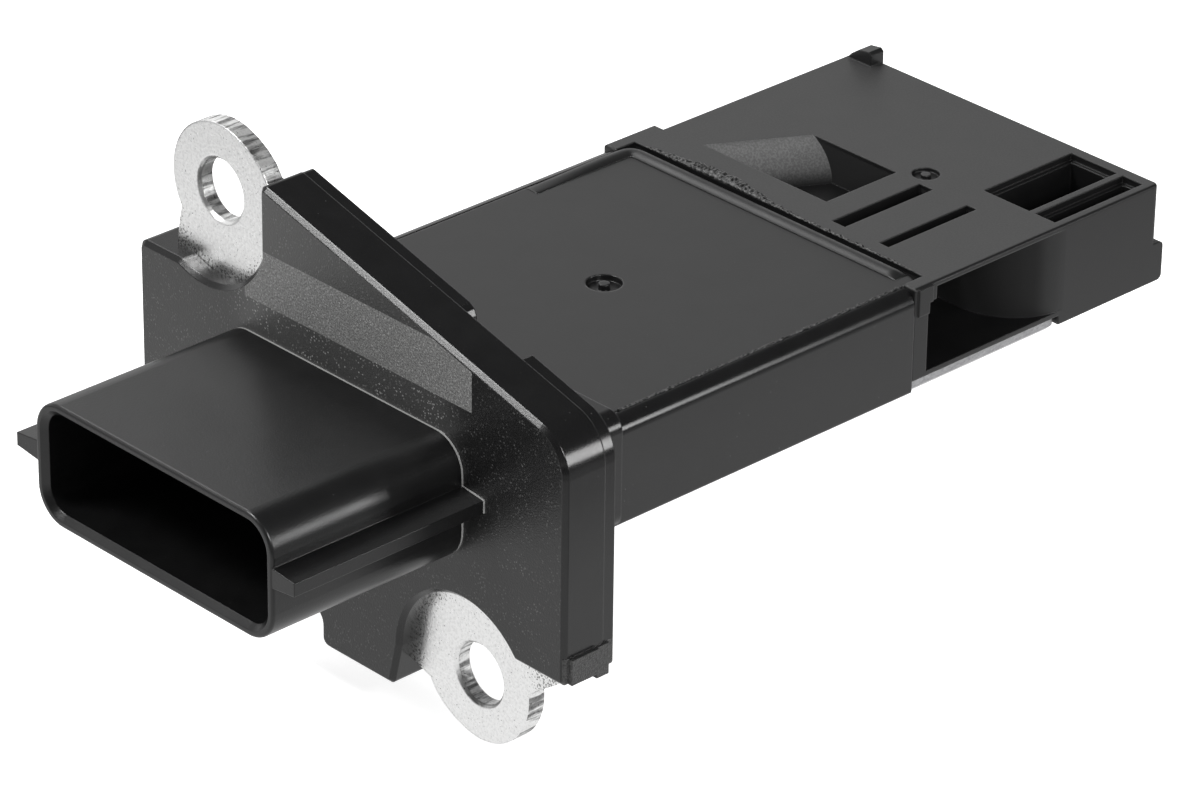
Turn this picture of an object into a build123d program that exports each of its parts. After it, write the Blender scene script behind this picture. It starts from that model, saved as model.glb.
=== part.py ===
from build123d import *
import math
import os

os.makedirs("parts", exist_ok=True)

# A plug-in mass airflow sensor: a flange with two metal ears, a flat oval
# connector in front of it, and a flat probe behind it with the air passages.
# All sizes are in millimetres. +Y runs from the connector to the probe's tip,
# +Z is up and +X is the side with the wide air inlet. The origin is midway
# between the two ear holes, on the ears' back faces.

# Ears and their holes
ear_t = 1.5
ear_r = 5.3
ear_shoulder_r = 5.75
hole_d = 4.8
hole_pitch = 40.0
hole_x = 14.0
hole_z = math.sqrt((hole_pitch / 2) ** 2 - hole_x ** 2)
ear_root_in = 4.6
hole_bevel = 0.25

# Flange
flange_front_step = 1.65
flange_back_step = 1.65
flange_cx = 1.5
flange_w = 46.2
shelf_z = hole_z - 6.18
foot_z = 4.13 - hole_z
apex_x = 6.25 - hole_x
apex_z = hole_z + 3.32
slope_drop = 0.2614
low_slope_z = -hole_z - 1.42
recess_r = 6.8
block_x0 = hole_x - 15.5
block_x1 = hole_x - 7.65
block_z = -hole_z - 3.62
flange_corner_r = 3.6
flange_bevel = 0.35
parting_back = 1.0
parting_step = 0.05
notch_x0 = 10.2
notch_x1 = 16.0
notch_r = 0.7
notch_depth = 1.4
gate_w = 2.6
gate_h = 2.05
gate_out = 0.35
gate_tail_w = 1.15
gate_tail_out = 0.15
gate_tail_drop = 0.3

# Connector shroud
conn_cx = 1.2
conn_cz = 0.42
conn_w = 25.9
conn_h = 9.9
conn_len = 17.75
conn_wall = 0.95
conn_depth = 13.4
conn_r = 2.7
rail_out = 2.25
rail_tip_t = 1.05
rail_root_t = 1.65
rail_left_z = 0.8
rail_right_z = 1.15
rail_setback = 0.05
rim_round = 0.25
lead_in = 0.45

# Terminals
pin_count = 6
pin_pitch = 2.5
pin_t = 0.64
pin_reach = 7.4
pin_land = 3.2

# Collar with its seal
collar_len = 7.1
collar_w = 34.1
collar_h = 9.5
collar_r = 1.4
groove_gap = 2.3
groove_w = 2.6
groove_depth = 1.1
seal_proud = 0.25

# Probe tray
probe_cx = 0.8
probe_w = 33.6
probe_top = 4.1
probe_bottom = -4.45
tray_len = 30.2
probe_round = 1.2
lid_edge = 1.25
lid_t = 1.2
lid_lip_t = 0.6
lid_tail = 1.6
lid_gap = 0.1
lid_seam = 0.45
pocket_edge = 3.3
pocket_y0 = 3.2
tray_end_t = 1.35
bead_w = 0.9
bead_depth = 0.5
bead_in = 0.55
dimple_r = 1.4
dimple_depth = 0.5
dimple_y = 22.85

# Base plate
plate_t = 1.05
plate_edge = 1.8
plate_gap = 0.1
plate_bevel = 0.4
plate_end = 16.0

# Passage block at the tip
duct_top = 4.31
duct_len = 27.03
duct_inset = 1.0
duct_wide_len = 5.4
duct_foot_z = -4.15
inlet_y0 = 1.5
inlet_w = 9.45
inlet_floor_t = 0.4
inlet_roof = 2.8
inlet_lip_z = 3.85
inlet_lip_in = 5.0
bell_r = 5.6
slab_round = 0.25
inlet_wall_x = 3.5
outlet_roof = -0.1
scoop_x0 = -10.8
scoop_x1 = 2.7
scoop_y0 = 5.65
scoop_y1 = 13.3
scoop_skew = 4.4
scoop_run = 2.3
scoop_floor_z = 0.9
scoop_hole_w = 2.9
scoop_hole_in = 2.2
scoop_wall = 0.8
slot_y0 = 3.6
slot_len = 9.6
slot_a_x = 6.0
slot_a_w = 1.4
slot_b_x = 10.8
slot_b_w = 1.0
slot_depth = 4.0
well_y0 = 16.0
well_len = 9.9
well_floor = -2.95
well_a_x = 11.8
well_a_w = 4.8
well_b_x = 15.82
well_b_w = 2.05
ledge_w = 0.35
ledge_depth = 0.6
mark_x = 4.4
mark_y = 14.8
mark_r = 1.1
mark_depth = 0.35
nib_w = 2.9
nib_len = 1.4
nib_h = 1.2
nib_rise = 1.5
tab_w = 4.6
tab_out = 0.8
tab_h = 3.3
tab_r = 0.45
skirt_out = 0.15
skirt_len = 1.5
skirt_h = 2.4

# Board and what is on it
glue_t = 0.1
board_t = 0.7
board_gap = 0.7
board_y0 = 6.95
board_len = 21.0
chip_t = 1.2
small_chip_t = 0.9
chip_w = 7.0
chip_in = 3.4
chip_back = 5.5
small_chip_w = 4.4
small_chip_l = 5.2
small_chip_in = 5.9
small_chip_back = 4.9
cap_size = 1.6
cap_count = 5
cap_back = 2.6
res_size = 1.3
res_count = 4
res_pitch = 2.4
res_in = 1.55
res_back = 4.7
ribbon_t = 0.16
ribbon_w = 0.5
ribbon_lap = 1.2
carrier_w = 6.4
carrier_t = 1.0
carrier_out = 7.2
carrier_in = 3.0
sense_w = 2.6
sense_t = 0.3
bead_r = 0.95
bead_len = 2.1
lead_r = 0.2
lead_gap = 1.2
lead_out = 2.2
lead_from_left = 9.0

# Stations that follow from the sizes above
flange_y0 = -(ear_t + flange_front_step)
flange_y1 = flange_back_step
mouth_y = flange_y0 - conn_len
cavity_y = mouth_y + conn_depth
collar_y = flange_y1 + collar_len
tray_y = collar_y + tray_len
duct_y = tray_y + duct_len
x_left = flange_cx - flange_w / 2
x_right = flange_cx + flange_w / 2
side_l = probe_cx - probe_w / 2
side_r = probe_cx + probe_w / 2
plate_top = probe_bottom + plate_t
ledge_z = probe_top - lid_t
pocket_front = collar_y + pocket_y0
pocket_back = tray_y - tray_end_t
board_z = plate_top + glue_t
board_top = board_z + board_t
lead_x = side_l + lead_from_left
lead_z = conn_cz
floor_z = plate_top + inlet_floor_t
pin_bottom = conn_cz - pin_t / 2
pin_end = pocket_front + pin_land


def at_y(y):
    return Plane.XZ.offset(-y)


def cut_box(x0, x1, y0, y1, z0, z1, mode=Mode.SUBTRACT):
    with Locations(((x0 + x1) / 2, (y0 + y1) / 2, (z0 + z1) / 2)):
        Box(x1 - x0, y1 - y0, z1 - z0, mode=mode)


def on_circle(cx, cz, r, degrees):
    a = math.radians(degrees)
    return (cx + r * math.cos(a), cz + r * math.sin(a))


# Metal ears. Each is a round lug with a stepped shoulder and a root that
# the flange is moulded around.
def ear_face(sign, outer_neck):
    s = sign
    with BuildSketch() as face:
        with Locations((-s * hole_x, s * hole_z)):
            Circle(ear_r)
        turn = 0 if s > 0 else 180
        swell = ear_shoulder_r - ear_r
        shoulder = [on_circle(-s * hole_x, s * hole_z, ear_r + swell * part, turn + a)
                    for part, a in ((0, 72), (0.15, 60), (0.45, 48), (0.8, 36), (1, 25))]
        with BuildLine():
            Polyline(
                (-s * hole_x, s * hole_z),
                *shoulder,
                (s * (apex_x + ear_root_in), s * (hole_z + 0.6)),
                (s * (apex_x + ear_root_in), s * (shelf_z - ear_root_in)),
                (-s * (hole_x + outer_neck[-1][0]), s * (shelf_z - ear_root_in)),
                *[(-s * (hole_x + dx), s * (hole_z - dz)) for dx, dz in reversed(outer_neck)],
                (-s * hole_x, s * hole_z),
            )
        make_face()
        with Locations((-s * hole_x, s * hole_z)):
            Circle(hole_d / 2, mode=Mode.SUBTRACT)
    return face.sketch


with BuildPart() as ear_upper:
    with BuildSketch(at_y(0)):
        add(ear_face(1, [(4.45, 2.9), (4.7, 4.0), (5.0, 5.9)]))
    extrude(amount=ear_t)
    rims = ear_upper.edges().filter_by(GeomType.CIRCLE)
    chamfer([e for e in rims if abs(e.radius - hole_d / 2) < 0.01], hole_bevel)
ear_upper.part.label = "ear_upper"

with BuildPart() as ear_lower:
    with BuildSketch(at_y(0)):
        add(ear_face(-1, [(5.1, 1.3), (5.3, 0.6), (6.2, 1.4), (8.1, 2.7), (8.4, 4.2)]))
    extrude(amount=ear_t)
    rims = ear_lower.edges().filter_by(GeomType.CIRCLE)
    chamfer([e for e in rims if abs(e.radius - hole_d / 2) < 0.01], hole_bevel)
ear_lower.part.label = "ear_lower"

# Terminals: a row of square pins from the connector's cavity to a shelf in
# the tray.
with BuildPart() as terminals:
    with BuildSketch(at_y(pin_end)):
        with Locations((conn_cx, conn_cz)):
            with GridLocations(pin_pitch, 1, pin_count, 1):
                Rectangle(pin_t, pin_t)
    extrude(amount=pin_end - cavity_y + pin_reach)
    tips = terminals.faces().sort_by(Axis.Y)[:pin_count]
    chamfer([e for f in tips for e in f.edges()], pin_t * 0.25)
terminals.part.label = "terminals"

# Thermistor leads: two wires that stand on the board and run out through the
# tray's end wall into the air passage.
lead_y0 = pocket_back - 1.6
bead_y = tray_y + lead_out
with BuildPart() as thermistor_leads:
    for side in (-1, 1):
        lx = lead_x + side * lead_gap / 2
        with BuildLine() as run:
            FilletPolyline(
                (lx, lead_y0, board_top),
                (lx, lead_y0, lead_z),
                (lx, bead_y, lead_z),
                radius=0.8,
            )
        with BuildSketch(Plane(origin=(lx, lead_y0, board_top), z_dir=(0, 0, 1))):
            Circle(lead_r)
        sweep(path=run.wires()[0])
thermistor_leads.part.label = "thermistor_leads"

# Thermistor bead at the ends of its leads
with BuildPart() as thermistor:
    with BuildSketch(at_y(bead_y + bead_len)):
        with Locations((lead_x, lead_z)):
            SlotOverall(lead_gap + 2 * bead_r, 2 * bead_r)
    extrude(amount=bead_len)
    fillet(thermistor.faces().sort_by(Axis.Y)[-1].edges(), bead_r * 0.6)
thermistor.part.label = "thermistor"

# Carrier for the sensing chip: a small plate from the board's end out into
# the air passage.
carrier_x = slot_a_x + 1
carrier_z = conn_cz
with BuildPart() as chip_carrier:
    with BuildSketch(Plane.XY.offset(carrier_z - carrier_t / 2)):
        with Locations((carrier_x, tray_y + (carrier_out - carrier_in) / 2)):
            RectangleRounded(carrier_w, carrier_out + carrier_in, 0.5)
    extrude(amount=carrier_t)
    with Locations((carrier_x, tray_y + carrier_out - 2.2, carrier_z + carrier_t / 2 - sense_t / 2)):
        Box(sense_w, sense_w, sense_t, mode=Mode.SUBTRACT)
    cut_box(carrier_x - carrier_w / 2, carrier_x + carrier_w / 2,
            tray_y - carrier_in, tray_y - carrier_in + 1.0,
            board_top, carrier_z - carrier_t / 2, mode=Mode.ADD)
chip_carrier.part.label = "chip_carrier"

# Sensing chip, flush in the carrier's face
with BuildPart() as sensing_chip:
    with Locations((carrier_x, tray_y + carrier_out - 2.2, carrier_z + carrier_t / 2 - sense_t / 2)):
        Box(sense_w, sense_w, sense_t)
sensing_chip.part.label = "sensing_chip"


# Flange outline, seen from the connector. A low shelf at the upper left and
# a foot at the lower right leave room for the ears, a slope falls from the
# apex to the right side, and a block hangs down beside the lower ear.
def flange_outline():
    c1 = (-hole_x, hole_z)
    c2 = (hole_x, -hole_z)
    s1 = (c1[0] - math.sqrt(recess_r ** 2 - (c1[1] - shelf_z) ** 2), shelf_z)
    e1 = (apex_x, c1[1] - math.sqrt(recess_r ** 2 - (apex_x - c1[0]) ** 2))
    a_s1 = math.degrees(math.atan2(s1[1] - c1[1], s1[0] - c1[0]))
    a_e1 = math.degrees(math.atan2(e1[1] - c1[1], e1[0] - c1[0]))
    m1 = on_circle(c1[0], c1[1], recess_r, (a_s1 + a_e1) / 2)
    s2 = (c2[0] + math.sqrt(recess_r ** 2 - (foot_z - c2[1]) ** 2), foot_z)
    a_s2 = math.degrees(math.atan2(s2[1] - c2[1], s2[0] - c2[0]))
    m2 = on_circle(c2[0], c2[1], recess_r, (a_s2 + 180) / 2)
    e2 = (c2[0] - recess_r, c2[1])
    corner = (x_right, apex_z - slope_drop * (x_right - apex_x))
    low_r = (block_x0, low_slope_z - slope_drop * block_x0)
    low_l = (x_left, low_slope_z - slope_drop * x_left)
    with BuildSketch() as outline:
        with BuildLine():
            Polyline((x_left, shelf_z), s1)
            ThreePointArc(s1, m1, e1)
            Polyline(e1, (apex_x, apex_z), corner, (x_right, foot_z), s2)
            ThreePointArc(s2, m2, e2)
            Polyline(e2, (block_x1, block_z), (block_x0, block_z), low_r, low_l,
                     (x_left, shelf_z))
        make_face()
        rounds = [((x_left, shelf_z), 0.7), (s1, 1.3), ((apex_x, apex_z), 0.5),
                  (corner, flange_corner_r), ((x_right, foot_z), 0.5),
                  ((block_x1, block_z), 0.5), ((block_x0, block_z), 0.9),
                  (low_r, 1.0), (low_l, flange_corner_r)]
        for point, r in rounds:
            spot = Vector(point[0], point[1], 0)
            fillet(outline.vertices().sort_by(lambda v: (Vector(v.X, v.Y, 0) - spot).length)[0], r)
    return outline.sketch


# Housing: flange, connector shroud, collar and probe tray in one moulding
with BuildPart() as housing:
    with BuildSketch(at_y(flange_y1)):
        add(flange_outline())
        offset(amount=-parting_step, kind=Kind.INTERSECTION, mode=Mode.REPLACE)
    extrude(amount=parting_back + 0.1)
    with BuildSketch(at_y(flange_y1 - parting_back)):
        add(flange_outline())
    extrude(amount=flange_y1 - parting_back - flange_y0)
    chamfer(housing.faces().sort_by(Axis.Y)[0].edges(), flange_bevel)
    # notch in the back of the sloping edge, its left corner rounded
    notch_z0 = apex_z - slope_drop * (notch_x0 - apex_x)
    notch_z1 = apex_z - slope_drop * (notch_x1 - apex_x)
    with BuildSketch(at_y(flange_y1)):
        with BuildLine():
            Polyline((notch_x0 - notch_r, notch_z0 + 1), (notch_x0 - notch_r, notch_z0 + 0.1),
                     (notch_x0 - notch_r * 0.3, notch_z0 - notch_r * 0.3),
                     (notch_x0, notch_z0 - notch_r), (notch_x0, notch_z0 - notch_depth),
                     (notch_x1, notch_z1 - notch_depth), (notch_x1, notch_z1 + 1),
                     close=True)
        make_face()
    extrude(amount=parting_back, mode=Mode.SUBTRACT)
    # shroud
    with BuildSketch(at_y(flange_y0 + 1)):
        with Locations((conn_cx, conn_cz)):
            RectangleRounded(conn_w, conn_h, conn_r)
    extrude(amount=conn_len + 1)
    rim = housing.faces().sort_by(Axis.Y)[0]
    fillet(rim.edges(), rim_round)
    with BuildSketch(at_y(cavity_y)):
        with Locations((conn_cx, conn_cz)):
            RectangleRounded(conn_w - 2 * conn_wall, conn_h - 2 * conn_wall, conn_r - conn_wall)
    extrude(amount=conn_depth + 1, mode=Mode.SUBTRACT)
    # bevelled lead-in round the cavity's mouth
    chamfer(housing.faces().sort_by(Axis.Y)[0].inner_wires()[0].edges(), lead_in)
    # the two side rails of the shroud
    with BuildSketch(at_y(flange_y0 + 0.5)):
        for side, rail_z in ((-1, rail_left_z), (1, rail_right_z)):
            root = conn_cx + side * (conn_w / 2 - 0.3)
            tip = conn_cx + side * (conn_w / 2 + rail_out)
            with BuildLine():
                Polyline((root, rail_z - rail_root_t / 2), (tip, rail_z - rail_tip_t / 2),
                         (tip, rail_z + rail_tip_t / 2), (root, rail_z + rail_root_t / 2),
                         close=True)
            make_face()
    extrude(amount=conn_len + 0.5 - rail_setback)
    # broken stub of the moulding gate at the foot of the right side
    gate_y = flange_y0 + flange_bevel + 0.15
    cut_box(x_right - 0.5, x_right + gate_out, gate_y, gate_y + gate_w,
            foot_z + 0.2, foot_z + 0.2 + gate_h, mode=Mode.ADD)
    cut_box(x_right - 0.5, x_right + gate_tail_out, gate_y + gate_w, gate_y + gate_w + gate_tail_w,
            foot_z - gate_tail_drop, foot_z + 0.2 + gate_h, mode=Mode.ADD)
    # collar
    with BuildSketch(at_y(collar_y)):
        with Locations((probe_cx, 0)):
            RectangleRounded(collar_w, collar_h, collar_r)
    extrude(amount=collar_len + 0.5)
    with BuildSketch(at_y(flange_y1 + groove_gap + groove_w)):
        with Locations((probe_cx, 0)):
            RectangleRounded(collar_w + 2, collar_h + 2, collar_r + 1)
            RectangleRounded(collar_w - 2 * groove_depth, collar_h - 2 * groove_depth,
                             collar_r - groove_depth + 0.4, mode=Mode.SUBTRACT)
    extrude(amount=groove_w, mode=Mode.SUBTRACT)
    # tray
    with BuildSketch(at_y(tray_y)) as tray_face:
        with Locations((probe_cx, (probe_top + probe_bottom) / 2)):
            Rectangle(probe_w, probe_top - probe_bottom)
        fillet(tray_face.vertices().group_by(Axis.Y)[-1], probe_round)
        fillet(tray_face.vertices().group_by(Axis.Y)[0], 0.3)
    extrude(amount=tray_len + 0.5)
    # seat of the cover, pocket for the board, seat of the base plate
    cut_box(side_l + lid_edge, side_r - lid_edge, collar_y + 0.1, tray_y + 1,
            ledge_z, probe_top + 1)
    cut_box(side_l + pocket_edge, side_r - pocket_edge, pocket_front, pocket_back,
            plate_top - 2, probe_top)
    cut_box(side_l + plate_edge, side_r - plate_edge, pocket_front - 1.5, tray_y + 1,
            probe_bottom - 1, plate_top)
    # shelf that the terminals' ends lie on
    cut_box(side_l + pocket_edge - 0.5, side_r - pocket_edge + 0.5, pocket_front - 0.5, pin_end,
            plate_top, pin_bottom, mode=Mode.ADD)
    # grooves for the cover's and the plate's adhesive
    gx0 = side_l + lid_edge + bead_in
    gx1 = side_r - lid_edge - bead_in
    gy0 = pocket_front - 2.2
    gy1 = tray_y - 0.2
    with BuildSketch(Plane.XY.offset(ledge_z - bead_depth)):
        with Locations(((gx0 + gx1) / 2, (gy0 + gy1) / 2)):
            Rectangle(gx1 - gx0, gy1 - gy0)
            Rectangle(gx1 - gx0 - 2 * bead_w, gy1 - gy0 - 2 * bead_w, mode=Mode.SUBTRACT)
    extrude(amount=bead_depth, mode=Mode.SUBTRACT)
    hx0 = side_l + plate_edge + 0.3
    hx1 = side_r - plate_edge - 0.3
    hy0 = pocket_front - 1.2
    hy1 = tray_y - 0.2
    with BuildSketch(Plane.XY.offset(plate_top)):
        with Locations(((hx0 + hx1) / 2, (hy0 + hy1) / 2)):
            Rectangle(hx1 - hx0, hy1 - hy0)
            Rectangle(hx1 - hx0 - 2 * bead_w, hy1 - hy0 - 2 * bead_w, mode=Mode.SUBTRACT)
    extrude(amount=bead_depth, mode=Mode.SUBTRACT)
    add(ear_upper.part, mode=Mode.SUBTRACT)
    add(ear_lower.part, mode=Mode.SUBTRACT)
    add(terminals.part, mode=Mode.SUBTRACT)
    add(thermistor_leads.part, mode=Mode.SUBTRACT)
    add(chip_carrier.part, mode=Mode.SUBTRACT)
housing.part.label = "housing"

# Adhesive beads under the cover and above the plate
with BuildPart() as cover_adhesive:
    with BuildSketch(Plane.XY.offset(ledge_z - bead_depth)):
        with Locations(((gx0 + gx1) / 2, (gy0 + gy1) / 2)):
            Rectangle(gx1 - gx0, gy1 - gy0)
            Rectangle(gx1 - gx0 - 2 * bead_w, gy1 - gy0 - 2 * bead_w, mode=Mode.SUBTRACT)
    extrude(amount=bead_depth)
cover_adhesive.part.label = "cover_adhesive"

with BuildPart() as plate_adhesive:
    with BuildSketch(Plane.XY.offset(plate_top)):
        with Locations(((hx0 + hx1) / 2, (hy0 + hy1) / 2)):
            Rectangle(hx1 - hx0, hy1 - hy0)
            Rectangle(hx1 - hx0 - 2 * bead_w, hy1 - hy0 - 2 * bead_w, mode=Mode.SUBTRACT)
    extrude(amount=bead_depth)
plate_adhesive.part.label = "plate_adhesive"

# Seal in the collar's groove
with BuildPart() as seal_ring:
    with BuildSketch(at_y(flange_y1 + groove_gap + groove_w - 0.1)):
        with Locations((probe_cx, 0)):
            RectangleRounded(collar_w + 2 * seal_proud, collar_h + 2 * seal_proud,
                             collar_r + seal_proud)
            RectangleRounded(collar_w - 2 * groove_depth, collar_h - 2 * groove_depth,
                             collar_r - groove_depth + 0.4, mode=Mode.SUBTRACT)
    extrude(amount=groove_w - 0.2)
seal_ring.part.label = "seal_ring"

# Cover over the board's pocket. Its tail is thinner and lies on the passage
# block.
cover_x0 = side_l + lid_edge + lid_gap
cover_x1 = side_r - lid_edge - lid_gap
cover_y0 = collar_y + 0.1 + lid_gap
cover_y1 = tray_y + lid_tail
with BuildPart() as circuit_cover:
    with BuildSketch(Plane.XY.offset(probe_top)):
        with Locations(((cover_x0 + cover_x1) / 2, (cover_y0 + cover_y1) / 2)):
            RectangleRounded(cover_x1 - cover_x0, cover_y1 - cover_y0, 0.8)
    extrude(amount=-lid_t)
    cut_box(cover_x0 - 1, cover_x1 + 1, tray_y, cover_y1 + 1, ledge_z - 1, probe_top - lid_lip_t)
    with BuildSketch(Plane.XY.offset(probe_top)):
        with Locations((probe_cx + 0.2, dimple_y)):
            Circle(dimple_r)
            Circle(dimple_r * 0.3, mode=Mode.SUBTRACT)
    extrude(amount=-dimple_depth, mode=Mode.SUBTRACT)
circuit_cover.part.label = "circuit_cover"

# Aluminium base plate under tray and passage, wider beyond the tray
plate_y0 = pocket_front - 1.5 + plate_gap
plate_y1 = tray_y + plate_end
with BuildPart() as base_plate:
    with BuildSketch(Plane.XY.offset(probe_bottom)) as plate_face:
        with BuildLine():
            Polyline(
                (side_l + plate_edge + plate_gap, plate_y0),
                (side_r - plate_edge - plate_gap, plate_y0),
                (side_r - plate_edge - plate_gap, tray_y + plate_gap),
                (side_r - plate_gap, tray_y + plate_gap),
                (side_r - plate_gap, plate_y1),
                (side_l + duct_inset, plate_y1),
                (side_l + duct_inset, tray_y + plate_gap),
                (side_l + plate_edge + plate_gap, tray_y + plate_gap),
                close=True,
            )
        make_face()
        fillet(plate_face.vertices().group_by(Axis.Y)[-1], 0.8)
    extrude(amount=plate_t)
    under = base_plate.faces().sort_by(Axis.Z)[0].edges().group_by(Axis.X)[-1]
    chamfer(under, plate_bevel)
base_plate.part.label = "base_plate"


# Passage block at the probe's tip. The wide inlet on the right has a
# bell-mouthed far side and goes straight through to the left side; a scoop,
# two slots and two wells open in the top.
def inlet_plan(x0, near):
    with BuildSketch() as plan:
        far = tray_y + inlet_y0 + inlet_w
        with BuildLine():
            Polyline((side_r - bell_r, far), (x0, far), (x0, near), (side_r + 2, near),
                     (side_r + 2, far + bell_r), (side_r, far + bell_r))
            ThreePointArc((side_r, far + bell_r),
                          (side_r - bell_r * (1 - math.sin(math.radians(45))),
                           far + bell_r * (1 - math.sin(math.radians(45)))),
                          (side_r - bell_r, far))
        make_face()
    return plan.sketch


# The room inside the scoop: a slanting left edge, and a ramp that rolls over
# from the top and falls steeply to the floor.
sy0 = tray_y + scoop_y0
sy1 = tray_y + scoop_y1
with BuildPart() as scoop_void:
    with BuildSketch(at_y(sy0)):
        with BuildLine():
            ThreePointArc((scoop_x0, duct_top),
                          (scoop_x0 + scoop_run * 0.66, duct_top - (duct_top - scoop_floor_z) * 0.36),
                          (scoop_x0 + scoop_run, scoop_floor_z))
            Polyline((scoop_x0 + scoop_run, scoop_floor_z), (scoop_x1 + 2, scoop_floor_z),
                     (scoop_x1 + 2, duct_top + 1), (scoop_x0, duct_top + 1), (scoop_x0, duct_top))
        make_face()
    slant = Vector(scoop_skew, sy1 - sy0, 0)
    extrude(amount=slant.length, dir=slant.normalized())
    cut_box(scoop_x0 - 1, scoop_x1, sy0, sy1, scoop_floor_z - 1, duct_top + 2, mode=Mode.INTERSECT)


with BuildPart() as bypass_duct:
    with BuildSketch(Plane.XY.offset(duct_foot_z)) as plan:
        with BuildLine():
            Polyline(
                (side_l, tray_y), (side_r, tray_y), (side_r, duct_y),
                (side_l + duct_inset, duct_y),
                (side_l + duct_inset, tray_y + duct_wide_len),
                (side_l, tray_y + duct_wide_len),
                close=True,
            )
        make_face()
        far_corners = plan.vertices().group_by(Axis.Y)[-1]
        fillet(far_corners, 0.5)
    extrude(amount=duct_top - duct_foot_z)
    # rounded upper edges along both sides and the end
    top_face = bypass_duct.faces().sort_by(Axis.Z)[-1]
    fillet(top_face.edges(), slab_round)
    # end tab with rounded ends, and the wedge on the far left corner
    with BuildSketch(Plane.YZ.offset(side_r - tab_w)):
        with Locations((duct_y + tab_out / 2 - 0.5, duct_foot_z + tab_h / 2)):
            RectangleRounded(tab_out + 1, tab_h, tab_r)
    extrude(amount=tab_w)
    nib_x = side_l + duct_inset
    with BuildSketch(at_y(duct_y)):
        with BuildLine():
            Polyline((nib_x, duct_top - 1), (nib_x, duct_top - slab_round),
                     (nib_x + nib_rise * 0.5, duct_top + nib_h * 0.42),
                     (nib_x + nib_rise, duct_top + nib_h * 0.86),
                     (nib_x + nib_w - 0.25, duct_top + nib_h),
                     (nib_x + nib_w, duct_top + nib_h - 0.25), (nib_x + nib_w, duct_top - 1),
                     close=True)
        make_face()
    extrude(amount=nib_len)
    # skirt pad beside the cover's tail
    cut_box(side_r - 0.3, side_r + skirt_out, tray_y + 0.35, tray_y + 0.35 + skirt_len,
            duct_top - skirt_h, duct_top - 0.15, mode=Mode.ADD)
    # seat of the cover's tail, with an open seam behind it
    cut_box(side_l + lid_edge, side_r - lid_edge, tray_y - 1, cover_y1 + lid_seam,
            probe_top - lid_lip_t, duct_top + 1)
    # room for the base plate
    cut_box(side_l - 1, side_r + 1, tray_y - 1, plate_y1 + plate_gap, duct_foot_z - 1, plate_top)
    # inlet, with a higher roof near its mouth
    with BuildSketch(Plane.XY.offset(floor_z)):
        add(inlet_plan(inlet_wall_x, tray_y + inlet_y0))
    extrude(amount=inlet_roof - floor_z, mode=Mode.SUBTRACT)
    with BuildSketch(Plane.XY.offset(inlet_roof - 1)):
        add(inlet_plan(side_r - inlet_lip_in, cover_y1 + lid_seam + 0.3))
    extrude(amount=inlet_lip_z - inlet_roof + 1, mode=Mode.SUBTRACT)
    # passage on to the left side, low under the scoop and high before it
    cut_box(side_l - 1, inlet_wall_x + 0.1, tray_y + inlet_y0, tray_y + inlet_y0 + inlet_w,
            floor_z, outlet_roof)
    cut_box(side_l - 1, inlet_wall_x + 0.1, tray_y + inlet_y0, sy0 - scoop_wall,
            floor_z, inlet_roof)
    # scoop, with a hole at the low end of its floor down to the passage
    add(scoop_void.part, mode=Mode.SUBTRACT)
    cut_box(scoop_x1 - scoop_hole_w, scoop_x1, sy0 + scoop_hole_in, sy1,
            floor_z, scoop_floor_z + 0.5)
    # slots
    for cx, w in ((slot_a_x, slot_a_w), (slot_b_x, slot_b_w)):
        cut_box(cx - w / 2, cx + w / 2, tray_y + slot_y0, tray_y + slot_y0 + slot_len,
                duct_top - slot_depth, duct_top + 1)
    # wells, each with a narrow ledge inside its mouth
    for cx, w in ((well_a_x, well_a_w), (well_b_x, well_b_w)):
        cut_box(cx - w / 2, cx + w / 2, tray_y + well_y0, tray_y + well_y0 + well_len,
                duct_top - ledge_depth, duct_top + 1)
        cut_box(cx - w / 2 + ledge_w, cx + w / 2 - ledge_w, tray_y + well_y0 + ledge_w,
                tray_y + well_y0 + well_len - ledge_w, well_floor, duct_top)
    # round ejector mark
    with BuildSketch(Plane.XY.offset(duct_top)):
        with Locations((mark_x, tray_y + mark_y)):
            Circle(mark_r)
            Circle(mark_r * 0.35, mode=Mode.SUBTRACT)
    extrude(amount=-mark_depth, mode=Mode.SUBTRACT)
    add(thermistor_leads.part, mode=Mode.SUBTRACT)
    add(chip_carrier.part, mode=Mode.SUBTRACT)
bypass_duct.part.label = "bypass_duct"

# Board on its adhesive, with its components
board_x0 = side_l + pocket_edge + board_gap
board_x1 = side_r - pocket_edge - board_gap
board_y = pin_end + board_gap
board_end = pocket_back - board_gap
with BuildPart() as board_adhesive:
    cut_box(board_x0 + 0.5, board_x1 - 0.5, board_y + 0.5, board_end - 0.5,
            plate_top, board_z, mode=Mode.ADD)
board_adhesive.part.label = "board_adhesive"

with BuildPart() as circuit_board:
    cut_box(board_x0, board_x1, board_y, board_end, board_z, board_top, mode=Mode.ADD)
circuit_board.part.label = "circuit_board"

chip_y = board_y + chip_back + chip_w / 2
with BuildPart() as control_chip:
    with Locations((board_x0 + chip_in + chip_w / 2, chip_y, board_top + chip_t / 2)):
        Box(chip_w, chip_w, chip_t)
    chamfer(control_chip.faces().sort_by(Axis.Z)[-1].edges(), chip_t * 0.17)
control_chip.part.label = "control_chip"

with BuildPart() as supply_chip:
    with Locations((board_x1 - small_chip_in - small_chip_w / 2,
                    board_y + small_chip_back + small_chip_l / 2,
                    board_top + small_chip_t / 2)):
        Box(small_chip_w, small_chip_l, small_chip_t)
    chamfer(supply_chip.faces().sort_by(Axis.Z)[-1].edges(), small_chip_t * 0.17)
supply_chip.part.label = "supply_chip"

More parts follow.
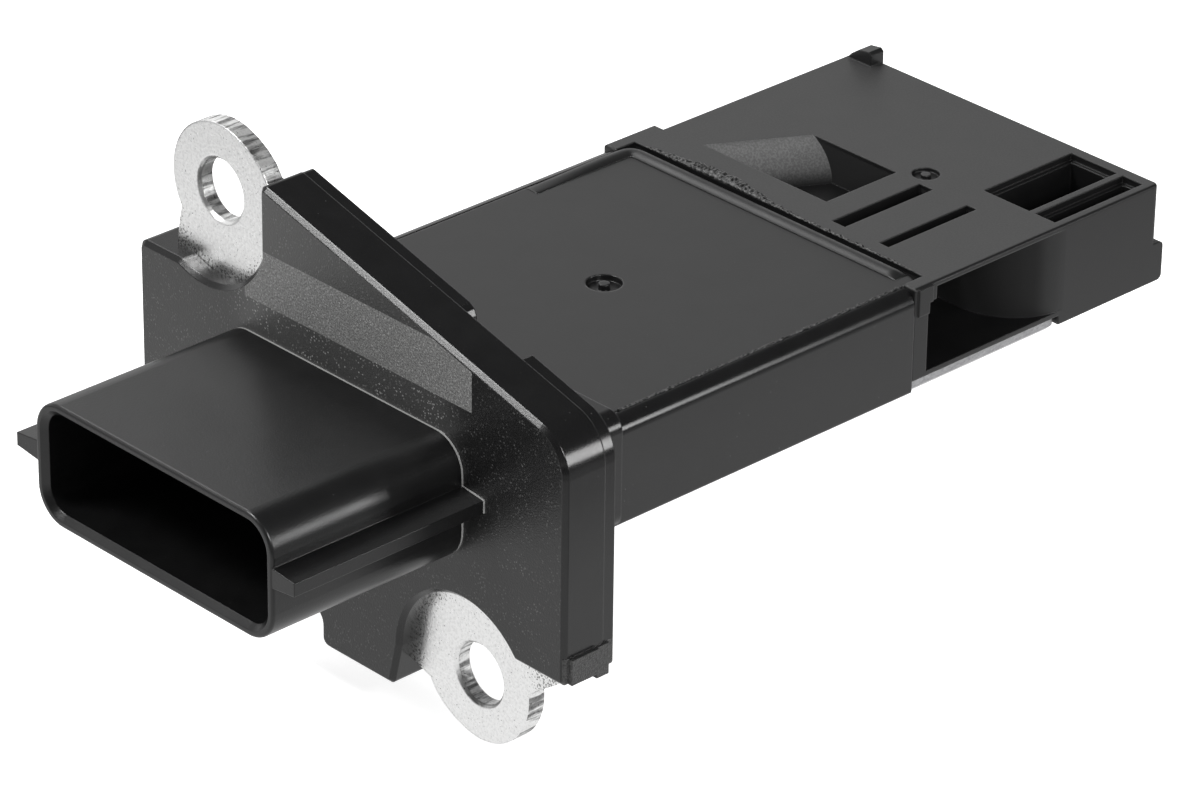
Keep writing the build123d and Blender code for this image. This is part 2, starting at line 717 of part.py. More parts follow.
with BuildPart() as capacitors:
    with Locations((probe_cx, board_y + cap_back + cap_size / 2, board_top + cap_size / 4)):
        with GridLocations((board_x1 - board_x0) / (cap_count + 1), 1, cap_count, 1):
            Box(cap_size / 2, cap_size, cap_size / 2)
capacitors.part.label = "capacitors"

with BuildPart() as resistors:
    with Locations((board_x1 - res_in - res_size / 2,
                    board_y + res_back + res_pitch * (res_count - 1) / 2 + res_size / 4,
                    board_top + res_size / 6)):
        with GridLocations(1, res_pitch, 1, res_count):
            Box(res_size, res_size / 2, res_size / 3)
resistors.part.label = "resistors"

# Flat bond ribbons from the terminals' ends to the board
with BuildPart() as bond_ribbons:
    top = conn_cz + pin_t / 2
    y0 = pin_end - ribbon_lap
    y1 = board_y + 1.0
    t = ribbon_t
    for i in range(pin_count):
        cx = conn_cx + (i - (pin_count - 1) / 2) * pin_pitch
        with BuildSketch(Plane.YZ.offset(cx - ribbon_w / 2)):
            with BuildLine():
                Polyline((y0, top), (y0 + 0.7, top), (y0 + 1.1, top + 0.5), (y1 - 0.9, top + 0.5),
                         (y1 - t, board_top), (y1 + 0.7, board_top), (y1 + 0.7, board_top + t),
                         (y1, board_top + t), (y1 - 0.8 + t, top + 0.5 + t),
                         (y0 + 1.0, top + 0.5 + t), (y0 + 0.6, top + t), (y0, top + t),
                         close=True)
            make_face()
        extrude(amount=ribbon_w)
bond_ribbons.part.label = "bond_ribbons"

pieces = [
    housing, ear_upper, ear_lower, terminals, seal_ring, circuit_cover, cover_adhesive,
    base_plate, plate_adhesive, bypass_duct, board_adhesive, circuit_board, control_chip,
    supply_chip, capacitors, resistors, bond_ribbons, chip_carrier, sensing_chip,
    thermistor, thermistor_leads,
]
for piece in pieces:
    export_step(piece.part, "parts/" + piece.part.label + ".step")
    print(piece.part.label, len(piece.part.solids()), round(piece.part.volume, 2))
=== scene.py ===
import bpy
import numpy as np
from mathutils import Matrix, Vector


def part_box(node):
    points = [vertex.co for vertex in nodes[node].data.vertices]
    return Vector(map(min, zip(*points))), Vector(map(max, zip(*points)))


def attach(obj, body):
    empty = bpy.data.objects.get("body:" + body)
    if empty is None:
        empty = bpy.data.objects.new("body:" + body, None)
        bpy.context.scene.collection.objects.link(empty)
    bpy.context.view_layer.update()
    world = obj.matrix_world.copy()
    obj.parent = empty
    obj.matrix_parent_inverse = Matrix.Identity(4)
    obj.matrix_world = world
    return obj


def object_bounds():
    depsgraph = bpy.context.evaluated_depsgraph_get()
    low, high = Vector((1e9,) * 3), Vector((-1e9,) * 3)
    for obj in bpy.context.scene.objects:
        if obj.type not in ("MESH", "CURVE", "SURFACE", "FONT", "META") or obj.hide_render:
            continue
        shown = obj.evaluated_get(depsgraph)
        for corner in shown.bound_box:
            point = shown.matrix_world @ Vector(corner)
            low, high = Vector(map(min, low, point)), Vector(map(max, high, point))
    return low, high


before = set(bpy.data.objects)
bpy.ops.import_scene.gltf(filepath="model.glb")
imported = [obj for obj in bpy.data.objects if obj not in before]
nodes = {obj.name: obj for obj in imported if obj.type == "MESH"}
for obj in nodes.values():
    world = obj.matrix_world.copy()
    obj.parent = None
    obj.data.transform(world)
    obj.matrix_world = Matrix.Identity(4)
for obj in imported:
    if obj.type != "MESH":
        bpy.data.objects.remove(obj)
cad_low, cad_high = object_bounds()
scene = bpy.context.scene

# Camera. A long lens stands off the connector's right, a little above it, and
# the probe runs away from it to the upper right.
lens = bpy.data.cameras.new("studio_camera")
lens.sensor_width = 36.0
lens.lens = 180.0
lens.clip_start = 0.01
lens.clip_end = 20.0
camera = bpy.data.objects.new("studio_camera", lens)
scene.collection.objects.link(camera)
to_right = Vector((0.68643464, 0.72709037, 0.01212743))
to_top = Vector((-0.34960931, 0.3153456, 0.8822304))
to_camera = Vector((0.6376369, -0.60983337, 0.47066171))
turn = Matrix((to_right, to_top, to_camera)).transposed().to_4x4()
camera.matrix_world = Matrix.Translation((0.28810897, -0.25199505, 0.20626271)) @ turn
scene.camera = camera

# Housing. One moulding of black glass-filled polyester: flange, shroud,
# collar and tray. The flange's face is a fine satin with one lighter field and
# pale glass specks painted bright as glints. The face is painted paler above
# the shroud and on the left, and a highlight is painted round the shroud's
# foot: painted light. The shroud and the sloping edge are smoother.


class Sock:
    """A node socket that can be used in sums. Each sum adds Math nodes."""

    def __init__(self, tree, socket):
        self.tree = tree
        self.socket = socket

    def math(self, operation, *others, clamp=False):
        node = self.tree.nodes.new("ShaderNodeMath")
        node.operation = operation
        node.use_clamp = clamp
        for slot, value in enumerate((self, *others)):
            if isinstance(value, Sock):
                self.tree.links.new(value.socket, node.inputs[slot])
            else:
                node.inputs[slot].default_value = value
        return Sock(self.tree, node.outputs[0])

    def __add__(self, other):
        return self.math("ADD", other)

    __radd__ = __add__

    def __mul__(self, other):
        return self.math("MULTIPLY", other)

    __rmul__ = __mul__

    def __sub__(self, other):
        return self.math("SUBTRACT", other)

    def __rsub__(self, other):
        return (self * -1.0) + other

    def __abs__(self):
        return self.math("ABSOLUTE")

    def clip(self):
        return self.math("ADD", 0.0, clamp=True)


class Nodes:
    """A node tree and the one method that adds a node to it."""

    def __init__(self, tree):
        self.tree = tree

    def add(self, kind, settings, values, output=0):
        """Add a node: its settings first, then its sockets' values or links."""
        node = self.tree.nodes.new(kind)
        for name, value in settings.items():
            setattr(node, name, value)
        for name, value in values.items():
            if isinstance(value, Sock):
                self.tree.links.new(value.socket, node.inputs[name])
            else:
                node.inputs[name].default_value = value
        return Sock(self.tree, node.outputs[output]) if node.outputs else node

    def split(self, vector):
        first = self.add("ShaderNodeSeparateXYZ", {}, {"Vector": vector})
        outputs = first.socket.node.outputs
        return tuple(Sock(self.tree, outputs[i]) for i in range(3))

    def step(self, value, low, high):
        """0 below low, 1 above high, smooth between."""
        return self.add("ShaderNodeMapRange", {"interpolation_type": "SMOOTHSTEP"}, {
            "Value": value, "From Min": low, "From Max": high}, 0)

    def band(self, value, low, high, soft):
        """1 between low and high, falling to 0 within soft outside them."""
        return self.step(value, low - soft, low) * (1.0 - self.step(value, high, high + soft))


class Finish(Nodes):
    """One material. Holds the shader, the object's coordinates x, y, z and
    the surface's facing nx, ny, nz, all as sockets that can be summed."""

    def __init__(self, name, **constants):
        self.material = bpy.data.materials.new(name)
        self.material.use_nodes = True
        super().__init__(self.material.node_tree)
        self.shader = self.tree.nodes["Principled BSDF"]
        for socket, value in constants.items():
            self.shader.inputs[socket.replace("_", " ")].default_value = value
        self.place = self.add("ShaderNodeTexCoord", {}, {}, "Object")
        facing = self.add("ShaderNodeNewGeometry", {}, {}, "Normal")
        self.x, self.y, self.z = self.split(self.place)
        self.nx, self.ny, self.nz = self.split(facing)

    def stretch(self, x, y, z):
        """The object's coordinates scaled along each axis."""
        return self.add("ShaderNodeMapping", {}, {"Vector": self.place, "Scale": (x, y, z)}, 0)

    def noise(self, size, detail=2.0, place=None):
        """Smooth noise near 0.5 whose lumps are about size metres wide."""
        return self.add("ShaderNodeTexNoise", {}, {
            "Vector": place or self.place, "Scale": 1.0 / size, "Detail": detail}, "Fac")

    def dots(self, size, low, high, place=None):
        """1 inside small scattered dots, 0 between them. The dots are size
        metres apart and low to high of that wide."""
        gap = self.add("ShaderNodeTexVoronoi", {}, {
            "Vector": place or self.place, "Scale": 1.0 / size}, "Distance")
        return 1.0 - self.step(gap, low, high)

    def mix(self, mask, dark, light):
        """A colour from dark to light as mask goes from 0 to 1."""
        return self.add("ShaderNodeMix", {"data_type": "RGBA"}, {
            0: mask, 6: (*dark, 1.0), 7: (*light, 1.0)}, 2)

    def paint(self, **links):
        for name, value in links.items():
            self.tree.links.new(value.socket, self.shader.inputs[name.replace("_", " ")])

    def relief(self, height, edge=0.0002):
        """Raise the surface by height, in metres, with edges rounded by edge."""
        rounded = self.add("ShaderNodeBevel", {"samples": 8}, {"Radius": edge})
        self.paint(Normal=self.add("ShaderNodeBump", {}, {
            "Height": height, "Distance": 1.0, "Normal": rounded}, 0))

    def wear(self, *names):
        for name in names:
            mesh = nodes[name].data
            mesh.materials.clear()
            mesh.materials.append(self.material)


MM = 0.001
MICRON = 0.001 * MM
housing = Finish("polyester_moulding")
grain = housing.noise(0.16 * MM, 3.0)
cloud = housing.noise(2.2 * MM, 3.0)
flange_front = -3.2 * MM
flange_slope = 0.2614
crisp = 0.03 * MM
in_flange = housing.band(housing.y, flange_front, 1.8 * MM, crisp)
front = housing.step(housing.ny * -1.0, 0.95, 0.99) * in_flange
slope = housing.z + housing.x * flange_slope
field_left, field_right = -9.45 * MM, 14.95 * MM
field_low, field_high = 8.0 * MM, 12.3 * MM
field_slope_end = 15.1 * MM
label_field = (housing.band(housing.x, field_left, field_right, crisp)
               * housing.step(housing.z, field_low, field_low + 0.05 * MM)
               * (1.0 - housing.step(housing.z, field_high, field_high + 0.05 * MM))
               * (1.0 - housing.step(slope, field_slope_end, field_slope_end + 0.1 * MM)))
pad = front * label_field
plain = front - pad
fine_specks = housing.dots(0.26 * MM, 0.14, 0.36)
# Pale specks of glass in the face, painted bright as glints: partly the glass itself, partly
# painted highlights.
painted_glints = fine_specks * housing.step(housing.noise(1.5 * MM), 0.36, 0.66)
dust = housing.dots(0.9 * MM, 0.03, 0.08) * housing.step(housing.noise(5.0 * MM), 0.42, 0.6)
# The torn gate stub stands out past the flange's right side, low down.
stub_x, stub_top = 24.3 * MM, -7.95 * MM
stub = (housing.step(housing.x, stub_x, stub_x + 0.1 * MM)
        * (1.0 - housing.step(housing.z, stub_top, stub_top + 0.1 * MM)))
coarse = housing.step(housing.noise(0.15 * MM, 2.0), 0.34, 0.66)
shroud = 1.0 - housing.step(housing.y, flange_front - 0.1 * MM, flange_front)
# A pale line round the shroud where it leaves the flange is a painted highlight on the small
# fillet there.
painted_fillet_highlight = housing.band(housing.y, flange_front - 0.14 * MM, flange_front, 0.02 * MM)
# The flange's face is painted paler above the shroud and on the left: painted light.
above = (housing.step(housing.z, 4.0 * MM, 6.5 * MM)
         * housing.band(housing.x, -8.0 * MM, 11.0 * MM, 4.0 * MM))
near_plug = above * (1.0 - housing.step(housing.z, 8.5 * MM, 11.0 * MM))
left = 1.0 - housing.step(housing.x, -11.0 * MM, 0.0)
# The lighter colour: the field, dust, stub and cloud are the plastic's own; the paler left and
# upper face, the line round the shroud's foot and the glints are painted light.
lift = (cloud * 0.012
        + plain * (0.015 + left * 0.07 + above * 0.14 + painted_glints * (0.2 + near_plug * 0.9))
        + painted_fillet_highlight * (0.9 + coarse * 0.6) + dust * 0.12
        + stub * (0.04 + coarse * 0.1)
        + pad * (0.38 + coarse * 0.34 + fine_specks * 0.45)).clip()
bare_polyester = (0.0035, 0.0035, 0.0037)
wear_and_painted_light_polyester = (0.3, 0.3, 0.296)
housing.paint(Base_Color=housing.mix(lift, bare_polyester, wear_and_painted_light_polyester),
              Roughness=(0.17 + shroud * 0.1 + plain * 0.14 + pad * 0.3 + stub * 0.2
                         + cloud * 0.06).clip())
texture = (grain * (3.0 + shroud * 6.0 + plain * 5.0 + stub * 90.0)
           + coarse * (plain * 6.0 + pad * 12.0) + painted_glints * plain * 12.0)
housing.relief(texture * MICRON, 0.13 * MM)
housing.wear("housing")

# Circuit cover. A flat plate of the same polyester bonded into the tray's
# mouth, fine satin on top, with a round gate mark in its middle.
cover = Finish("cover_moulding")
cover_grain = cover.noise(0.18 * MM, 3.0)
cover_cloud = cover.noise(4.0 * MM, 3.0)
cover_dust = cover.dots(0.8 * MM, 0.03, 0.08) * cover.step(cover.noise(4.0 * MM), 0.45, 0.6)
cover.paint(Base_Color=cover.mix((cover_grain * 0.07 + cover_dust * 0.5).clip(),
                                 (0.005, 0.005, 0.0052), (0.08, 0.08, 0.08)),
            Roughness=(0.26 + cover_grain * 0.06 + cover_cloud * 0.1).clip())
cover.relief(cover_grain * (3.0 * MICRON), 0.2 * MM)
cover.wear("circuit_cover")


def add_bead(name, points, finish):
    """A closed bead from rows by columns of points, in metres. Each row is one
    ring, each face joins four neighbours, and the end rings are filled."""
    rows, cols = points.shape[:2]
    index = np.arange(rows * cols).reshape(rows, cols)
    ring = np.hstack([index, index[:, :1]])
    quads = np.stack([ring[:-1, :-1], ring[:-1, 1:], ring[1:, 1:], ring[1:, :-1]], -1)
    faces = quads.reshape(-1, 4).tolist()
    faces += [index[0, ::-1].tolist(), index[-1].tolist()]
    mesh = bpy.data.meshes.new(name)
    mesh.from_pydata(points.reshape(-1, 3).tolist(), [], faces)
    mesh.shade_smooth()
    mesh.materials.append(finish.material)
    piece = bpy.data.objects.new(name, mesh)
    scene.collection.objects.link(piece)
    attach(piece, "root")
    return piece


def along_path(corners, bend, spacing):
    """Points every spacing along straight runs between corners, each corner
    rounded by averaging over bend. Gives the distance walked to each point,
    the points and the left-hand normal at each."""
    corners = np.array(corners, float)
    runs = np.linalg.norm(np.diff(corners, axis=0), axis=1)
    reach = np.concatenate([[0.0], np.cumsum(runs)])
    walk = np.arange(0.0, reach[-1], spacing)
    window = np.hanning(2 * int(bend / spacing) + 3)[1:-1]
    half = len(window) // 2
    padded = np.concatenate([-walk[half:0:-1], walk, 2 * walk[-1] - walk[-2:-half - 2:-1]])
    line = []
    for axis in range(2):
        values = np.interp(padded, reach, corners[:, axis])
        before = corners[0, axis] + padded * (corners[1, axis] - corners[0, axis]) / runs[0]
        past = (padded - reach[-1]) * (corners[-1, axis] - corners[-2, axis]) / runs[-1]
        values = np.where(padded < 0.0, before, values)
        values = np.where(padded > reach[-1], corners[-1, axis] + past, values)
        line.append(np.convolve(values, window / window.sum(), "valid"))
    line = np.stack(line, -1)
    ahead = np.gradient(line, axis=0)
    ahead /= np.linalg.norm(ahead, axis=1)[:, None]
    return walk, line, np.stack([-ahead[:, 1], ahead[:, 0]], -1)


# Cover rim. The far and left borders of the cover stand up in a soft moulded
# rim, part of the same plate. Its section is a low arch, steeper on the
# outside, that fades out along the left side.
cover_low, cover_high = (np.array(corner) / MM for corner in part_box("circuit_cover"))
rim_half = 0.68
rim_rise = 0.27
rim_in = 0.7
rim_left_run = 10.5
rim_right_gap = 0.9
rim_bend = 1.6
rim_fade_left = 9.0
rim_fade_right = 1.2
rim_spacing = 0.12
arch_points = 15
rim_x = cover_low[0] + rim_in
rim_y = cover_high[1] - rim_in
walk, rim_line, rim_out = along_path(
    [(rim_x, rim_y - rim_left_run), (rim_x, rim_y), (cover_high[0] - rim_right_gap, rim_y)],
    rim_bend, rim_spacing)
fade = (np.clip(walk / rim_fade_left, 0.0, 1.0)
        * np.clip((walk[-1] - walk) / rim_fade_right, 0.0, 1.0))
fade = np.sin(fade * np.pi / 2) * 0.98 + 0.02
turn_round = np.linspace(0.0, np.pi, arch_points)
out = -np.cos(turn_round) * rim_half
rise = np.sin(turn_round) ** 1.15 * rim_rise
rise = rise * (1.0 + 0.35 * np.cos(turn_round) * -1.0)
rim = np.empty((len(walk), arch_points + 2, 3))
rim[:, :arch_points, :2] = rim_line[:, None] + rim_out[:, None] * out[None, :, None]
rim[:, :arch_points, 2] = cover_high[2] + 0.005 + rise * fade[:, None]
rim[:, arch_points, :2] = rim_line + rim_out * rim_half * 0.8
rim[:, arch_points + 1, :2] = rim_line - rim_out * rim_half * 0.8
rim[:, arch_points:, 2] = cover_high[2] - 0.05
add_bead("cover_rim", rim[:, ::-1] * MM, cover)

# Cover edge burr. A thin, ragged line of melted polyester, squeezed out of
# the gap along the cover's right edge when the cover was bonded in.


def rough(rng, count, reach):
    """Smoothed random numbers near zero, one per step, each averaged with
    its neighbours within reach steps."""
    raw = rng.normal(size=count + 2 * reach)
    window = np.hanning(2 * reach + 1)
    return np.convolve(raw, window / np.sqrt((window ** 2).sum()), "valid")


def ragged_bead(along, near, base_z, width, height, lumps, run):
    """A low arched section at every station of along, in millimetres: its
    width from near outward, its height times lumps averaged over three
    stations, flat under base_z, run along axis run. Gives metres."""
    sides = lumps.shape[1]
    around = np.linspace(0.0, np.pi, sides)
    bead = np.empty((len(along), sides + 2, 3))
    bead[..., run] = along[:, None]
    bead[:, :sides, 1 - run] = near[:, None] + width[:, None] * (1.0 - np.cos(around)) * 0.5
    lumps = (lumps + np.roll(lumps, 1, 0) + np.roll(lumps, 2, 0)) / 3.0
    bead[:, :sides, 2] = base_z + height[:, None] * np.sin(around) ** 0.7 * lumps
    bead[:, sides, 1 - run] = near + width * 0.95
    bead[:, sides + 1, 1 - run] = near + width * 0.05
    bead[:, sides:, 2] = base_z - 0.06
    return bead * MM


rng = np.random.default_rng(41)
melt = Finish("melted_polyester")
melt_grain = melt.noise(0.22 * MM, 4.0)
melt.paint(Base_Color=melt.mix(melt.step(melt_grain, 0.4, 0.75), (0.006, 0.006, 0.006),
                               (0.12, 0.12, 0.12)),
           Roughness=0.3 + melt_grain * 0.2)
melt.relief(melt_grain * (30.0 * MICRON), 0.04 * MM)
burr_steps = 380
burr_sides = 9
burr_y = np.linspace(cover_low[1] + 0.8, cover_high[1] - 1.0, burr_steps)
burr_width = (0.17 + 0.045 * rough(rng, burr_steps, 4)).clip(0.05)
burr_height = (0.1 + 0.04 * rough(rng, burr_steps, 3)).clip(0.015)
burr_lumps = 1.0 + 0.1 * rng.normal(size=(burr_steps, burr_sides))
burr = ragged_bead(burr_y, cover_high[0] - 0.02 - burr_width * 0.3, cover_high[2],
                   burr_width, burr_height, burr_lumps, 1)
add_bead("cover_edge_burr", burr, melt)

# Passage block. The same polyester from an eroded mould, matte all over, with
# the air's inlet, scoop, slots and wells. It is welded to the tray's end. Its
# top face is painted lighter as painted light, and the scoop's ramp carries a
# painted sheen that fades towards the scoop's floor.
block = Finish("passage_block_moulding")
block_grain = block.noise(0.16 * MM, 3.0)
block_cloud = block.noise(3.0 * MM, 3.0)
block_specks = block.step(block.noise(0.16 * MM, 2.0), 0.36, 0.66)
block_top = 4.15 * MM
scoop_floor = 0.95 * MM
# The scoop's ramp is painted lighter, fading out low down: a painted sheen.
ramp_painted_sheen = (block.band(block.x, -11.0 * MM, -3.5 * MM, 0.2 * MM)
        * block.step(block.z, scoop_floor, scoop_floor + 0.15 * MM)
        * block.step(block.nx, 0.3, 0.5))
low_fade = block.step(block.z, 0.7 * MM, 2.6 * MM)
# The top face is painted lighter than the block's sides: painted light.
top_face_painted_light = block.step(block.nz, 0.9, 0.98) * block.step(block.z, block_top, block_top + 0.1 * MM)
inlet_y, inlet_end = 40.0 * MM, 54.0 * MM
inlet_ceiling = 3.9 * MM
throat = (block.step(block.ny * -1.0, 0.15, 0.5) * block.band(block.y, inlet_y, inlet_end, MM)
          * (1.0 - block.step(block.z, inlet_ceiling, inlet_ceiling + 0.1 * MM)))
block_lift = (top_face_painted_light * (0.2 + block_specks * 0.06) + block_cloud * 0.02
              + ramp_painted_sheen * low_fade * (0.62 + block_specks * 0.3)).clip()
block.paint(Base_Color=block.mix(block_lift, (0.004, 0.004, 0.0042), (0.13, 0.13, 0.13)),
            Roughness=(0.36 + top_face_painted_light * 0.1 + ramp_painted_sheen * 0.06 + throat * 0.55
                       + block_cloud * 0.08).clip())
block.relief((block_grain * 5.0 + ramp_painted_sheen * block_specks * 5.0) * MICRON, 0.2 * MM)
block.wear("bypass_duct")

# Base plate. Rolled aluminium sheet, sheared to size, with a bevelled lower
# edge. It is glued under the tray and carries the board's heat away.
plate = Finish("rolled_aluminium", Metallic=1.0)
streak = plate.noise(0.12 * MM, 3.0, plate.stretch(0.06, 1.0, 1.0))
shear = plate.noise(0.16 * MM, 3.0, plate.stretch(1.0, 0.5, 1.0))
cut_edge = 1.0 - plate.step(abs(plate.nz), 0.5, 0.9)
torn_low, torn_high = -4.0 * MM, -3.5 * MM
torn = cut_edge * plate.band(plate.z, torn_low, torn_high, 0.08 * MM)
plate.paint(Base_Color=plate.mix((streak * 0.3 + torn * (0.3 + shear * 0.7)).clip(),
                                 (0.84, 0.84, 0.85), (0.3, 0.3, 0.31)),
            Roughness=(0.22 + streak * 0.1 + torn * 0.15).clip())
plate.relief((streak * 0.6 + torn * shear * 30.0) * MICRON, 0.2 * MM)
plate.wear("base_plate")

# Ears. Two lugs of plated sheet steel that the flange is moulded around. Their
# faces are finely mottled, with dark spots painted denser towards the flange:
# a painted reflection of the black housing. Their sheared edges are streaked.
ears = Finish("plated_ears", Metallic=1.0)
mottle = ears.noise(0.22 * MM, 3.0)
pits = ears.dots(0.4 * MM, 0.1, 0.26) * ears.step(ears.noise(1.4 * MM), 0.5, 0.66)
sheared = 1.0 - ears.step(abs(ears.ny), 0.4, 0.8)
tears = ears.noise(0.45 * MM, 3.0, ears.stretch(1.0, 0.12, 1.0))
# The two holes lie opposite each other about the origin, so one sum gives the
# squared distance from the nearer hole's middle.
hole_x, hole_z = -14.0 * MM, 14.28 * MM
from_hole = (ears.x * ears.x + ears.z * ears.z + (hole_x ** 2 + hole_z ** 2)
             - abs(ears.x * hole_x + ears.z * hole_z) * 2.0)
# Dark spots are painted denser further from the hole, towards the flange: a painted reflection
# of the black housing.
root = ears.step(from_hole, (5.0 * MM) ** 2, (6.9 * MM) ** 2)
spots_and_painted_reflection = ears.step(ears.noise(0.17 * MM, 2.0) + root * 0.16, 0.66, 0.74)
stain_and_painted_reflection = (ears.step(mottle, 0.4, 0.75) * 0.15 + pits * 0.24 + spots_and_painted_reflection * 0.7
         + sheared * ears.step(tears, 0.44, 0.6) * 0.75).clip()
ears.paint(Base_Color=ears.mix(stain_and_painted_reflection, (0.9, 0.9, 0.895), (0.05, 0.05, 0.05)),
           Roughness=(0.22 + mottle * 0.16 + sheared * 0.2).clip())
ears.relief((mottle * 22.0 + pits * -14.0 + sheared * tears * 40.0) * MICRON, 0.2 * MM)
ears.wear("ear_upper", "ear_lower")

# Seal ring. A rectangular ring of black silicone rubber, stretched into the
# collar's groove. It seals the sensor in the air duct's wall.
rubber = Finish("black_silicone")
rubber_grain = rubber.noise(0.25 * MM, 3.0)
rubber.paint(Base_Color=rubber.mix(rubber_grain, (0.012, 0.012, 0.012), (0.03, 0.03, 0.03)),
             Roughness=0.5 + rubber_grain * 0.2)
rubber.relief(rubber_grain * (4.0 * MICRON), 0.3 * MM)
rubber.wear("seal_ring")

# Adhesive beads. Grey silicone, pressed out flat under the cover, on the base
# plate and under the board.
glue = Finish("grey_adhesive")
glue_lumps = glue.noise(0.7 * MM, 3.0)
glue.paint(Base_Color=glue.mix(glue_lumps, (0.1, 0.1, 0.1), (0.17, 0.17, 0.17)),
           Roughness=0.35 + glue_lumps * 0.2)
glue.relief(glue_lumps * (20.0 * MICRON), 0.2 * MM)
glue.wear("cover_adhesive", "plate_adhesive", "board_adhesive")

# Terminals, thermistor leads and bond ribbons. Bright drawn metal, tinned. The
# terminals are held in the shroud's back wall and the ribbons join them to
# the board.
tin = Finish("tinned_metal", Metallic=1.0)
drawn = tin.noise(0.12 * MM, 3.0, tin.stretch(1.0, 0.08, 1.0))
tin.paint(Base_Color=tin.mix(drawn, (0.72, 0.71, 0.68), (0.55, 0.54, 0.51)),
          Roughness=0.24 + drawn * 0.14)
tin.relief(drawn * (3.0 * MICRON), 0.08 * MM)
tin.wear("terminals", "thermistor_leads", "bond_ribbons")

# Circuit board. A white fired ceramic plate that carries the chips. It is
# glued down inside the tray.
ceramic = Finish("fired_ceramic")
fired = ceramic.noise(0.25 * MM, 3.0)
ceramic.paint(Base_Color=ceramic.mix(fired, (0.66, 0.66, 0.62), (0.76, 0.76, 0.73)),
              Roughness=0.45 + fired * 0.2)
ceramic.relief(fired * (3.0 * MICRON), 0.1 * MM)
ceramic.wear("circuit_board")

# Chips, resistors, chip carrier and thermistor bead. Moulded black epoxy. The
# chips and resistors are soldered to the board, the carrier reaches from it
# into the air passage.
resin = Finish("black_epoxy")
resin_grain = resin.noise(0.15 * MM, 3.0)
resin.paint(Base_Color=resin.mix(resin_grain, (0.01, 0.01, 0.01), (0.028, 0.028, 0.028)),
            Roughness=0.32 + resin_grain * 0.2)
resin.relief(resin_grain * (3.0 * MICRON), 0.1 * MM)
resin.wear("control_chip", "supply_chip", "resistors", "chip_carrier", "thermistor")

# Capacitors. Small brown ceramic blocks, soldered to the board in a row
# across its front.
clay = Finish("brown_ceramic")
clay_grain = clay.noise(0.2 * MM, 3.0)
clay.paint(Base_Color=clay.mix(clay_grain, (0.2, 0.12, 0.06), (0.3, 0.19, 0.11)),
           Roughness=0.35 + clay_grain * 0.2)
clay.relief(clay_grain * (2.0 * MICRON), 0.1 * MM)
clay.wear("capacitors")

# Sensing chip. A small plate of polished silicon, glued flush into its
# carrier where the air passes over it.
silicon = Finish("polished_silicon", Metallic=0.6)
silicon_grain = silicon.noise(0.4 * MM, 3.0)
silicon.paint(Base_Color=silicon.mix(silicon_grain, (0.08, 0.08, 0.11), (0.15, 0.15, 0.2)),
              Roughness=0.1 + silicon_grain * 0.1)
silicon.wear("sensing_chip")

# Weld flash. Where the passage block was welded behind the cover's tail, the
# melted plastic stands up in a rough, uneven bead along the seam.
duct_z = 4.31
flash_left, flash_right = -13.6, 15.6
flash_steps = 460
flash_sides = 15
swell_x, swell_spread = -5.5, 4.8
seam_y = cover_high[1] + 0.42
along = np.linspace(flash_left, flash_right, flash_steps)
swell = np.exp(-((along - swell_x) / swell_spread) ** 2)
ends = np.clip(np.minimum(along - along[0], along[-1] - along) / 1.5, 0.0, 1.0) ** 0.5
flash_width = (0.26 + 1.0 * swell + 0.06 * rough(rng, flash_steps, 5)).clip(0.12) * ends + 0.01
flash_height = (0.09 + 0.26 * swell + 0.045 * rough(rng, flash_steps, 3)).clip(0.03) * ends
flash_lumps = 1.0 + 0.16 * rng.normal(size=(flash_steps, flash_sides))
flash = ragged_bead(along, np.full(flash_steps, seam_y), duct_z, flash_width,
                    flash_height + 0.005, flash_lumps, 0)
add_bead("weld_flash", flash[:, ::-1], melt)

# Studio. A white floor that keeps a faint shadow, and a pale room, darker
# overhead where the glossy surfaces mirror it, with four lamps.


class Stage(Nodes):
    """The tree of the floor or the room, with its output node."""

    def __init__(self, tree, output_kind):
        super().__init__(tree)
        tree.nodes.clear()
        self.output_kind = output_kind

    def show(self, lit, mirrored, seen):
        """Camera rays meet seen, glossy and transmission rays mirrored, and
        all others lit."""
        rays = [self.add("ShaderNodeLightPath", {}, {}, "Is %s Ray" % kind)
                for kind in ("Glossy", "Transmission", "Camera")]
        both = self.add("ShaderNodeMixShader", {},
                        {0: rays[0].math("MAXIMUM", rays[1]), 1: lit, 2: mirrored})
        last = self.add("ShaderNodeMixShader", {}, {0: rays[2], 1: both, 2: seen})
        self.add(self.output_kind, {}, {"Surface": last})


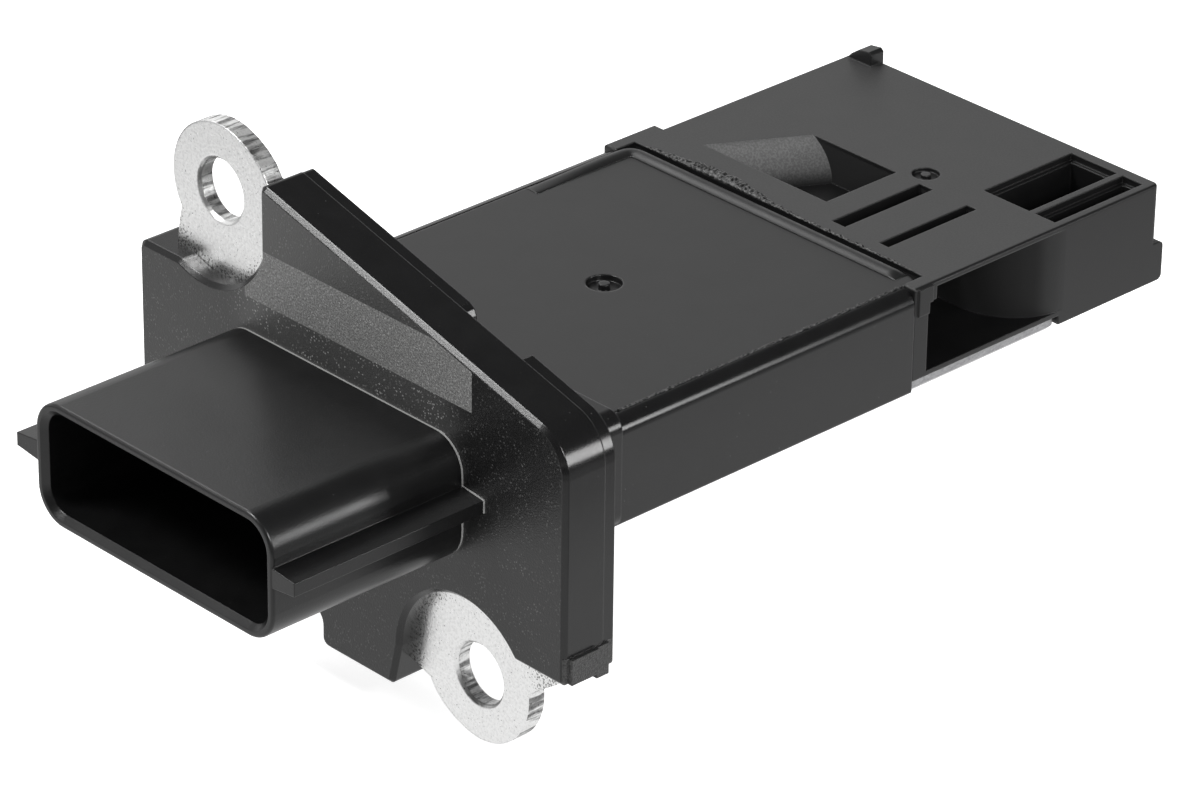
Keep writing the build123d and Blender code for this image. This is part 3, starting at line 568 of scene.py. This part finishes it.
floor_z = cad_low.z - 0.6 * MM
floor_mesh = bpy.data.meshes.new("studio_floor")
corners = np.array([(-1, -1), (1, -1), (1, 1), (-1, 1)]) * 1.5
floor_mesh.from_pydata([(x, y, floor_z) for x, y in corners.tolist()], [], [(0, 1, 2, 3)])
floor = bpy.data.objects.new("studio_floor", floor_mesh)
scene.collection.objects.link(floor)
paper = bpy.data.materials.new("white_paper")
paper.use_nodes = True
floor_mesh.materials.append(paper)
sheet = Stage(paper.node_tree, "ShaderNodeOutputMaterial")
white = (1.0, 1.0, 1.0, 1.0)
place = sheet.add("ShaderNodeTexCoord", {}, {}, "Object")
away = sheet.add("ShaderNodeVectorMath", {"operation": "DISTANCE"},
                 {0: place, 1: (-0.005, 0.025, floor_z)}, "Value")
beside = sheet.step(sheet.split(place)[0], 0.048, 0.064)
pale = sheet.add("ShaderNodeBsdfDiffuse", {}, {"Color": (0.8, 0.8, 0.8, 1.0)})
# Seen in reflections the floor glows white round the sensor, fading out past about 0.11 m and
# halved past x = 0.064 m: a glowing patch that lights only reflections.
mirrored = sheet.add("ShaderNodeEmission", {}, {
    "Color": white,
    "Strength": (0.92 - sheet.step(away, 0.11, 0.16) * 0.75) * (1.0 - beside * 0.5)})
glow = sheet.add("ShaderNodeEmission", {}, {"Color": white, "Strength": 0.76})
sheet.show(pale, mirrored, sheet.add("ShaderNodeAddShader", {}, {0: pale, 1: glow}))

world = bpy.data.worlds.new("studio_room")
scene.world = world
world.use_nodes = True
room = Stage(world.node_tree, "ShaderNodeOutputWorld")
across, _, up = room.split(room.add("ShaderNodeTexCoord", {}, {}, "Generated"))
high = room.step(up, 0.22, 0.44)
shade = (high * room.step(across, -0.6, -0.42)).math(
    "MAXIMUM", room.step(across, -0.2, 0.2) * room.step(up, 0.0, 0.08))
room.show(room.add("ShaderNodeBackground", {}, {"Color": white, "Strength": 0.45}),
          room.add("ShaderNodeBackground", {}, {
              "Color": white, "Strength": (1.0 - high * 0.42) * (1.0 - shade * 0.82)}),
          room.add("ShaderNodeBackground", {}, {"Color": white, "Strength": 1.0}))


def add_lamp(name, position, size, power):
    """A rectangular lamp at position, aimed at the middle of the sensor."""
    data = bpy.data.lights.new(name, "AREA")
    data.shape = "RECTANGLE"
    data.size, data.size_y = size
    data.energy = power
    lamp = bpy.data.objects.new(name, data)
    scene.collection.objects.link(lamp)
    lamp.location = position
    aim = Vector((0.0, 0.02, 0.0)) - Vector(position)
    lamp.rotation_mode = "QUATERNION"
    lamp.rotation_quaternion = aim.to_track_quat("-Z", "Y")
    return lamp


add_lamp("rim_lamp", (0.258, 0.178, 0.055), (0.05, 0.1), 0.2)
add_lamp("key_lamp", (-0.21, -0.27, 0.49), (0.18, 0.18), 2.4)
add_lamp("side_lamp", (-0.33, 0.13, 0.36), (0.16, 0.16), 0.3)
add_lamp("fill_lamp", (0.2, -0.009, 0.128), (0.05, 0.05), 0.28)

scene.view_settings.view_transform = "Standard"
